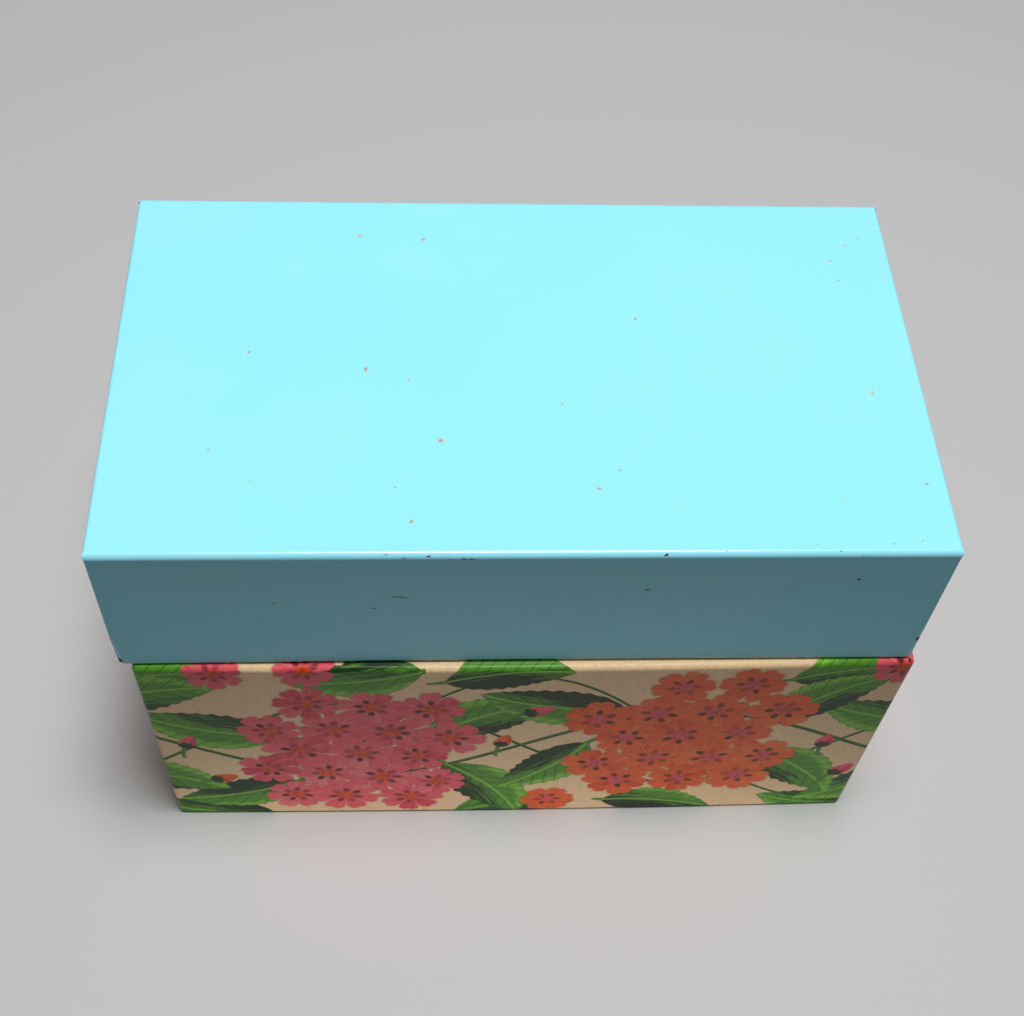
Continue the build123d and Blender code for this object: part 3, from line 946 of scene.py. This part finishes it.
lidSheet = {
    "width": 135.0, "front": -38.2, "back": 39.45, "bottom": 59.45, "top": 92.05, "sheet": 0.35, "bend": 1.05,
    "sideBend": 0.7, "bendSteps": 12, "step": 2.4, "fold": 0.38, "hem": 4.0, "corner": 2.0, "tab": 6.0, "tabBend": 0.6,
    "windowLow": 29.05, "windowHigh": 46.95, "windowTop": 60.775, "reach": 64.5, "knuckleStart": 60.2, "ripple": 0.2,
    "cornerLeft": 0.9, "cornerRight": 0.8, "sprung": 0.3, "tip": 0.32, "pressed": 0.22,
}
lidLow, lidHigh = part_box("lid_shell")
lidMove = Vector(((lidLow.x + lidHigh.x) / 2, bodyMove.y, 0))


def lidShell():
    n = lidSheet
    half, bend, top, fold = n["width"] / 2, n["bend"], n["top"], n["fold"]
    front, back, step = n["front"], n["back"], n["step"]
    side = n["sideBend"]
    wallLow = n["bottom"] + fold
    sheet = Sheet()
    sideRows = evenly(wallLow, top - side, step, wallLow + 0.3, top - bend - 0.1)
    tabRows = [z for z in sideRows if z <= top - bend]
    frontWall = evenly(wallLow, top - bend, step, wallLow + 0.3, top - bend - 0.3)
    ys = evenly(front + bend, back - bend, step, front + bend + 0.3, back - bend - 0.3, front + n["corner"], back - n["corner"])
    topXs = evenly(-half + side, half - side, step, -half + side + 0.3, half - side - 0.3)
    quarter, sideQuarter = bend * math.pi / 2, side * math.pi / 2

    def topDip(x, y):
        return (n["ripple"] * swell(x, -half + side, half - side, 26) * swell(y, front + bend, back - bend, 20) * dent(x, y, 1.7))

    def sideDip(y, z):
        return n["ripple"] * swell(y, front, back, 20) * swell(z, n["bottom"], top, 12) * dent(y, z, 4.2)

    def frontDip(x, z):
        # the free lower edge has been pressed in a little at its middle
        pressed = n["pressed"] * max(0.0, 1 - (x / half) ** 2) ** 1.5 * max(0.0, (top - bend - z) / (top - bend - wallLow))
        return pressed + n["ripple"] * swell(x, -half, half, 20) * swell(z, n["bottom"], top, 12) * dent(x, z, 0.6)

    # left wall, bend, top, bend, right wall: (kind, value)
    across = [("left", z) for z in sideRows]
    across += [("leftBend", a) for a in arc(0, 90, n["bendSteps"])[1:]]
    across += [("top", x) for x in topXs[1:]]
    across += [("rightBend", a) for a in arc(90, 0, n["bendSteps"])[1:]]
    across += [("right", z) for z in reversed(sideRows[:-1])]

    def saddle(s, y):
        kind, value = s
        if kind in ("left", "right"):
            sign = -1 if kind == "left" else 1
            down = top - side - value
            x = sign * (half - sideDip(y, value))
            return (x, y, value), (sign * (half - side + sideQuarter + down), y), 0.25 if down > 26 else 0.0
        if kind == "top":
            edge = min(y - front - bend, back - bend - y) < 0.2
            return (value, y, top - topDip(value, y)), (value, y), 0.25 if edge else 0.0
        sign = -1 if kind == "leftBend" else 1
        return ((sign * (half - side + side * math.cos(value)), y, top - side + side * math.sin(value)),
                (sign * (half - side + side * (math.pi / 2 - value)), y), 0.42)

    sheet.patch(across, ys, saddle)

    # hems along the side walls
    hemTurn = [(fold - fold * math.cos(a), wallLow - fold * math.sin(a), fold * a, 0.8) for a in arc(0, 180, 8)]
    hemFlap = [(2 * fold, z, fold * math.pi + z - wallLow, 0.2) for z in evenly(wallLow, n["bottom"] + n["hem"], 1.2)[1:]]
    hem = [*hemTurn, *hemFlap]
    wallLength = half - side + sideQuarter + top - side - wallLow
    hemYs = [y for y in ys if front + n["corner"] - 1e-6 <= y <= back - n["corner"] + 1e-6]
    for sign in (-1, 1):
        order = list(reversed(hem)) if sign < 0 else hem
        sheet.patch(order, hemYs, lambda s, y, sign=sign: (
            (sign * (half - s[0]), y, s[1]), (sign * (wallLength + s[2]), y), s[3]))

    # end tabs, bent in behind the front and back walls
    tabFace = n["sheet"] + 0.04
    for sign in (-1, 1):
        for end in (-1, 1):
            face = front + tabFace if end < 0 else back - tabFace
            inner = n["tabBend"]
            path = [(half, front + bend if end < 0 else back - bend, 0.0)]
            path += [(half - inner + inner * math.cos(a), face - end * (inner - inner * math.sin(a)), 1.0)
                     for a in arc(0, 90, 7)]
            path += [(x, face, 1.0) for x in evenly(half - inner, half - n["tab"], 1.6)[1:]]
            way = [0.0]
            for first, second in zip(path, path[1:]):
                way.append(way[-1] + math.dist(first[:2], second[:2]))
            points = [(x, y, w) for (x, y, _), w in zip(path, way)]
            if sign * end < 0:
                points = points[::-1]
            edgeY = front + bend if end < 0 else back - bend
            sheet.patch(points, tabRows, lambda s, z, sign=sign, end=end, edgeY=edgeY: (
                (sign * s[0], s[1], z),
                (sign * (half - side + sideQuarter + top - side - z), edgeY + end * s[2]),
                0.95 if end < 0 and z < wallLow + 7 else 0.3))

    # front wall and its bend, as wide as the lid, so that the bend's ends stand at the corners as tips
    frontXs = [-half, -half + 0.35, -half + 0.8, *topXs, half - 0.8, half - 0.35, half]
    rounds = {-1: n["cornerLeft"], 1: n["cornerRight"]}
    frontXs = sorted({*frontXs, *[sign * (half - rounds[sign] + rounds[sign] * math.sin(a))
                                  for sign in (-1, 1) for a in arc(0, 80, 6)]})
    frontXs = [x for i, x in enumerate(frontXs) if i == 0 or x - frontXs[i - 1] > 0.04 or x in topXs]
    frontRows = [("wall", z) for z in frontWall] + [("bend", a) for a in arc(0, 90, n["bendSteps"])[1:]]

    def frontPlace(x, t):
        kind, value = t
        outer = max(0.0, (abs(x) - half + side) / side)
        if kind == "bend":
            # beyond the top the bend runs out into a pointed tip
            blunt = abs(math.degrees(value) - 42) / 48
            y = front + bend - bend * math.cos(value)
            z = top - bend + bend * math.sin(value)
            worn = 0.5 + 0.35 * outer
            drawn = math.copysign(n["tip"] * outer * min(1.0, blunt), x)
            return (x - drawn, y, z), (x, front + bend - bend * (math.pi / 2 - value)), worn
        round_ = rounds[1 if x > 0 else -1]
        over = max(0.0, abs(x) - (half - round_)) / round_
        lift = round_ * (1 - math.sqrt(max(0.0, 1 - over * over)))
        share = max(0.0, 1 - (value - wallLow) / 5.0)
        z = value + lift * share
        down = top - bend - value
        worn = 0.7 if over > 0.3 and down > 22 else (0.25 if down > 28 else 0.05)
        if abs(x) > half - 0.1:
            worn = 1.35 if x < 0 and value < wallLow + 6 else 0.95
        # the wall's side edges run in a little towards the top, and the left one has sprung at its foot
        drawn = 0.08 + (n["tip"] - 0.08) * (1 - down / (top - bend - wallLow))
        if x < 0:
            drawn = max(drawn, n["sprung"] * min(1.0, max(0.0, 1 - (value - wallLow) / 8) * 2))
        drawn = math.copysign(drawn * max(0.0, (abs(x) - half + 5) / 5), x)
        return (x - drawn, front + frontDip(x, value), z), (x, front + bend - quarter - down), worn

    sheet.patch(frontXs, frontRows, frontPlace)
    bottomV = front + bend - quarter - (top - bend - wallLow)
    hemXs = [x for x in frontXs if -half + rounds[-1] - 1e-6 <= x <= half - rounds[1] + 1e-6]

    def hemPlace(x, s):
        drawn = math.copysign((n["sprung"] if x < 0 else 0.08) * max(0.0, (abs(x) - half + 5) / 5), x)
        return (x - drawn, front + frontDip(x, wallLow) + s[0], s[1]), (x, bottomV - s[2]), s[3]

    sheet.patch(hemXs, list(reversed(hem)), hemPlace)

    # back wall, with a window for each tongue
    marks = [sign * value for sign in (-1, 1) for value in (n["windowLow"], n["windowHigh"], n["reach"])]
    backXs = sorted({-half, half, *topXs, *marks})
    backXs = [x for x in backXs if x in topXs or x in marks or abs(x) == half]
    backRows = [("bend", a) for a in arc(90, 0, n["bendSteps"])]
    backRows += [("wall", z) for z in evenly(top - bend, n["windowTop"], step, top - bend - 0.3)[1:]]

    def backPlace(x, t):
        kind, value = t
        if kind == "bend":
            return ((x, back - bend + bend * math.cos(value), top - bend + bend * math.sin(value)),
                    (x, back - bend + bend * (math.pi / 2 - value)), 0.5)
        dip = n["ripple"] * swell(x, -half, half, 20) * swell(value, n["windowTop"], top, 12) * dent(x, value, 3.3)
        return (x, back - dip, value), (x, back - bend + quarter + top - bend - value), 0.1

    sheet.patch(backXs, backRows, backPlace)
    spans = [(-n["windowLow"], n["windowLow"]), (n["windowHigh"], n["reach"]), (-n["reach"], -n["windowHigh"])]
    for low, high in spans:
        line = [x for x in backXs if low - 1e-6 <= x <= high + 1e-6]
        sheet.patch(line, [("wall", z) for z in (n["windowTop"], n["knuckleStart"])], backPlace)

    made = sheet.object("lidFace", lidMove)
    knuckles = rolledStrips("knuckles", spans, n["knuckleStart"], -1, "tin", lidMove)
    made = joined(made, knuckles)
    thicken(made, n["sheet"])
    made = applied(made, "lidShell", ["enamel", "tin", "edge"])
    made.data.set_sharp_from_angle(angle=math.radians(38))
    return made


def faultPlaces():
    # flecks, chips and scratches, in mm on the lid's blank: x from its middle, y from the body's middle
    n = lidSheet
    top = [(-27.6, 30.3, 0.45), (-16.2, 29.4, 0.4), (-45.3, 2.6, 0.32), (-25.8, -1.0, 0.5), (-18.7, -3.4, 0.25),
           (-13.5, -15.9, 0.55), (20.2, 10.6, 0.34), (24.2, 11.8, 0.22), (58.7, -6.1, 0.42), (64.1, -24.9, 0.35),
           (11.4, -25.6, 0.35), (14.9, -22.0, 0.28), (-18.1, -31.9, 0.4), (-20.8, -25.3, 0.28), (56.5, 24.9, 0.3),
           (60.0, 28.7, 0.32), (62.6, 30.6, 0.25), (57.1, 20.0, 0.25), (6.5, -8.3, 0.28), (-43.3, -23.9, 0.2),
           (-20.0, -22.9, 0.2), (50.3, -27.6, 0.2), (-50.3, -17.8, 0.18)]
    places = [(x, y, 0.6 * i, (size * 1.2, size * 0.9), 0.0) for i, (x, y, size) in enumerate(top)]
    bendRow = n["front"] + n["bend"]
    for x, offset, turn, long, high, kind in (
            (-21.9, -0.75, 0, 0.34, 0.1, 2.0), (-19.2, -1.36, 0.5, 0.37, 0.09, 1.0), (-15.6, -1.03, 0, 0.38, 0.13, 1.0),
            (-12.1, -1.54, 0, 0.6, 0.07, 2.0), (-10.1, -1.54, 0, 0.4, 0.13, 1.0), (-8.9, -1.56, 0, 0.5, 0.13, 1.0),
            (20.9, -0.95, 0.4, 0.36, 0.2, 1.0), (22.2, 0.6, 0, 0.2, 0.14, 0.0), (25.0, 0.7, 0, 0.18, 0.12, 0.0),
            (28.7, 0.6, 0, 0.22, 0.14, 0.0), (30.2, -0.4, 0, 0.25, 0.16, 0.0), (44.6, 0.7, 0, 0.22, 0.14, 0.0),
            (48.0, -0.5, 0, 0.3, 0.14, 2.0), (50.2, -0.9, -0.5, 0.45, 0.12, 2.0), (51.5, -1.3, -0.3, 0.3, 0.1, 2.0),
            (56.6, 0.8, 0, 0.26, 0.15, 0.0), (61.2, 1.3, 0.3, 0.3, 0.14, 0.0), (62.6, 1.9, 0, 0.2, 0.12, 0.0)):
        places.append((x, bendRow + offset, turn, (long, high), kind))
    quarter = n["bend"] * math.pi / 2
    for x, z, long, high, turn, kind in ((-39.8, 78.5, 0.45, 0.35, 0.0, 0.0), (-20.2, 80.0, 1.5, 0.26, -0.1, 2.0),
                                         (-24.4, 76.7, 0.4, 0.2, 0.1, 2.0), (-16.9, 74.8, 0.35, 0.25, 0.3, 0.0),
                                         (19.2, 81.7, 0.6, 0.3, 0.5, 2.0), (52.5, 84.6, 0.28, 0.24, 0.0, 1.0),
                                         (42.2, 82.6, 0.25, 0.16, 0.0, 0.0), (67.3, 66.0, 0.36, 0.7, 0.0, 1.0),
                                         (-67.2, 60.8, 0.3, 0.7, 0.2, 1.0)):
        places.append((x, n["front"] + n["bend"] - quarter - (n["top"] - n["bend"] - z), turn, (long, high), kind))
    pick = random.Random(11)
    backFold = n["back"] - n["bend"]
    for _ in range(18):   # the same kind of small faults on the sides and back, which the photograph doesn't show
        spread_ = pick.choice(("left", "right", "back"))
        down = pick.uniform(1, 28)
        if spread_ == "back":
            spot = (pick.uniform(-60, 60), backFold + quarter + down)
        else:
            sign = -1 if spread_ == "left" else 1
            spot = (sign * (n["width"] / 2 - n["bend"] + quarter + down), pick.uniform(-36, 36))
        size = pick.uniform(0.18, 0.5)
        places.append((*spot, pick.uniform(0, 3), (size * pick.uniform(1, 1.8), size * 0.7), float(pick.choice((0, 0, 1, 2)))))
    return places


lid = lidShell()
markPlaces(lid, "fault", faultPlaces())
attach(lid, "lid")
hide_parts("lid_shell")
print("lid made:", len(lid.data.polygons), "faces")


# ---- the hinge wire: drawn wire that isn't quite straight

hingeWire = {"radius": 0.8, "length": 128.2, "bow": 0.03, "rings": 90, "sides": 24, "seed": 3}


def wireTree():
    tree = bpy.data.node_groups.new("drawnOut", "GeometryNodeTree")
    face = tree.interface
    for label in ("Length", "Radius", "Bow"):
        face.new_socket(label, in_out="INPUT", socket_type="NodeSocketFloat")
    for label in ("Rings", "Sides", "Seed"):
        face.new_socket(label, in_out="INPUT", socket_type="NodeSocketInt")
    face.new_socket("Metal", in_out="INPUT", socket_type="NodeSocketMaterial")
    face.new_socket("Wire", in_out="OUTPUT", socket_type="NodeSocketGeometry")
    g = Graph(tree)
    given = g.add("NodeGroupInput")
    length, radius, bow, rings, sides, seed, metal = [
        given.other(label) for label in ("Length", "Radius", "Bow", "Rings", "Sides", "Seed", "Metal")
    ]
    line = g.add("GeometryNodeCurvePrimitiveLine", None, {
        "Start": g.vector(length * -0.5, 0.0, 0.0), "End": g.vector(length * 0.5, 0.0, 0.0)})
    line = g.add("GeometryNodeResampleCurve", None, {"Curve": line, "Count": rings})
    part = g.add("GeometryNodeSplineParameter")
    drift = g.add("ShaderNodeTexNoise", {"noise_dimensions": "1D"}, {"W": part * 6.0 + seed, "Scale": 1.0}, "Color")
    drift = g.add("ShaderNodeVectorMath", {"operation": "SUBTRACT"}, [drift, (0.5, 0.5, 0.5)])
    drift = g.add("ShaderNodeVectorMath", {"operation": "MULTIPLY"}, [drift, g.vector(0.0, bow, bow)])
    line = g.add("GeometryNodeSetPosition", None, {"Geometry": line, "Offset": drift})
    # the cut ends are a little rounded
    near = (0.5 - (part - 0.5).maths("ABSOLUTE")) * length / (radius * 0.35)
    end = 1.0 - (1.0 - near.maths("MINIMUM", 1.0)) ** 2.0 * 0.22
    section = g.add("GeometryNodeCurvePrimitiveCircle", {"mode": "RADIUS"}, {"Resolution": sides, "Radius": radius})
    line = g.add("GeometryNodeSetCurveRadius", None, {"Curve": line, "Radius": end})
    body_ = g.add("GeometryNodeCurveToMesh", None, {"Curve": line, "Profile Curve": section, "Scale": end, "Fill Caps": True})
    plain = g.add("GeometryNodeRealizeInstances", None, [body_])
    painted = g.add("GeometryNodeSetMaterial", None, {"Geometry": plain, "Material": metal})
    g.add("NodeGroupOutput", None, [painted])
    return tree


def makeWire():
    w = hingeWire
    data = bpy.data.meshes.new("hingeWire")
    made = bpy.data.objects.new("hingeWire", data)
    bpy.context.scene.collection.objects.link(made)
    draw = made.modifiers.new("draw", "NODES")
    draw.node_group = wireTree()
    values = {
        "Length": w["length"] * mm, "Radius": w["radius"] * mm, "Bow": w["bow"] * mm, "Rings": w["rings"],
        "Sides": w["sides"], "Seed": w["seed"], "Metal": finishes["wire"],
    }
    for item in draw.node_group.interface.items_tree:
        if item.in_out == "INPUT" and item.name in values:
            draw[item.identifier] = values[item.name]
    made = applied(made, "hingeWire", ["wire"])
    centre = (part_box("hinge_pin")[0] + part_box("hinge_pin")[1]) / 2
    made.data.transform(Matrix.Translation(centre))
    for face in made.data.polygons:
        face.use_smooth = True
    made.data.set_sharp_from_angle(angle=math.radians(40))
    return made


wire = makeWire()
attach(wire, "lid")
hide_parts("hinge_pin")
print("wire made:", len(wire.data.polygons), "faces")


# ---- floor, lamps and camera

studio = {
    "floorPale": 0.58, "floorNear": 1.0, "floorFar": 0.09, "worldPale": 0.52, "worldDull": 0.08,
    "topLamp": {"at": (0.06, -0.065, 0.99), "size": (0.26, 0.26), "power": 8.7},
}


def makeFloor():
    data = bpy.data.meshes.new("floor")
    size = 4.0
    data.from_pydata([(-size, -size, -0.00002), (size, -size, -0.00002), (size, size, -0.00002), (-size, size, -0.00002)],
                     [], [(0, 1, 2, 3)])
    floor = bpy.data.objects.new("floor", data)
    bpy.context.scene.collection.objects.link(floor)
    material, g = newFinish("floorCard")
    seen = g.add("ShaderNodeLightPath", output="Is Camera Ray")
    seen = seen.maths("MAXIMUM", seen.other("Is Glossy Ray")).maths("MAXIMUM", seen.other("Is Transmission Ray"))
    pale = g.add("ShaderNodeBsdfDiffuse", None, {"Color": (*[studio["floorPale"]] * 3, 1)})
    plain = g.add("ShaderNodeEmission", None, {"Color": (*[studio["worldPale"]] * 3, 1), "Strength": 1.0})
    x, y, _ = g.split(g.onObject())
    away = (x * x + y * y).maths("SQRT")
    bounce = g.blend(away.rise(62.0, 124.0), (*[studio["floorNear"]] * 3, 1), (*[studio["floorFar"]] * 3, 1))
    dull = g.add("ShaderNodeBsdfDiffuse", None, {"Color": bounce})
    pale = g.add("ShaderNodeMixShader", None, [away.rise(250.0, 800.0), pale, plain])   # the far floor is as pale as the backdrop
    g.add("ShaderNodeOutputMaterial", None, {"Surface": g.add("ShaderNodeMixShader", None, [seen, dull, pale])})
    data.materials.append(material)


def makeLamp(name, at, size, power, aim=(0, 0, 0.06)):
    data = bpy.data.lights.new(name, "AREA")
    data.shape = "RECTANGLE"
    data.size, data.size_y = size
    data.energy = power
    lamp = bpy.data.objects.new(name, data)
    lamp.location = at
    lamp.rotation_euler = (Vector(aim) - Vector(at)).to_track_quat("-Z", "Y").to_euler()
    bpy.context.scene.collection.objects.link(lamp)


def makeWorld():
    world = bpy.data.worlds.new("studio")
    bpy.context.scene.world = world
    world.use_nodes = True
    world.node_tree.nodes.clear()
    g = Graph(world.node_tree)
    seen = g.add("ShaderNodeLightPath", output="Is Camera Ray")
    seen = seen.maths("MAXIMUM", seen.other("Is Glossy Ray")).maths("MAXIMUM", seen.other("Is Transmission Ray"))
    colour = g.blend(seen, (*[studio["worldDull"]] * 3, 1), (*[studio["worldPale"]] * 3, 1))
    g.add("ShaderNodeOutputWorld", None, {"Surface": g.add("ShaderNodeBackground", None, [colour, 1.0])})


viewpoint = {"at": (-0.01613, -0.16016, 0.27509), "turn": 5.709, "down": 54.528, "roll": 4.502, "lens": 50.842}


def makeCamera():
    c = viewpoint
    turn, down, roll = [math.radians(c[key]) for key in ("turn", "down", "roll")]
    ahead = Vector((math.sin(turn) * math.cos(down), math.cos(turn) * math.cos(down), -math.sin(down)))
    level = ahead.cross(Vector((0, 0, 1))).normalized()
    right = level * math.cos(roll) + level.cross(ahead) * math.sin(roll)
    above = right.cross(ahead)
    data = bpy.data.cameras.new("camera")
    data.sensor_fit, data.sensor_width, data.lens = "HORIZONTAL", 36.0, c["lens"]
    data.clip_start = 0.01
    camera = bpy.data.objects.new("camera", data)
    camera.matrix_world = Matrix.Translation(c["at"]) @ Matrix((right, above, -ahead)).transposed().to_4x4()
    bpy.context.scene.collection.objects.link(camera)
    bpy.context.scene.camera = camera


makeFloor()
makeLamp("topLamp", studio["topLamp"]["at"], studio["topLamp"]["size"], studio["topLamp"]["power"])
makeWorld()
makeCamera()
bpy.context.scene.view_settings.view_transform = "Standard"
print("floor, lamps and camera made")

bpy.context.view_layer.update()
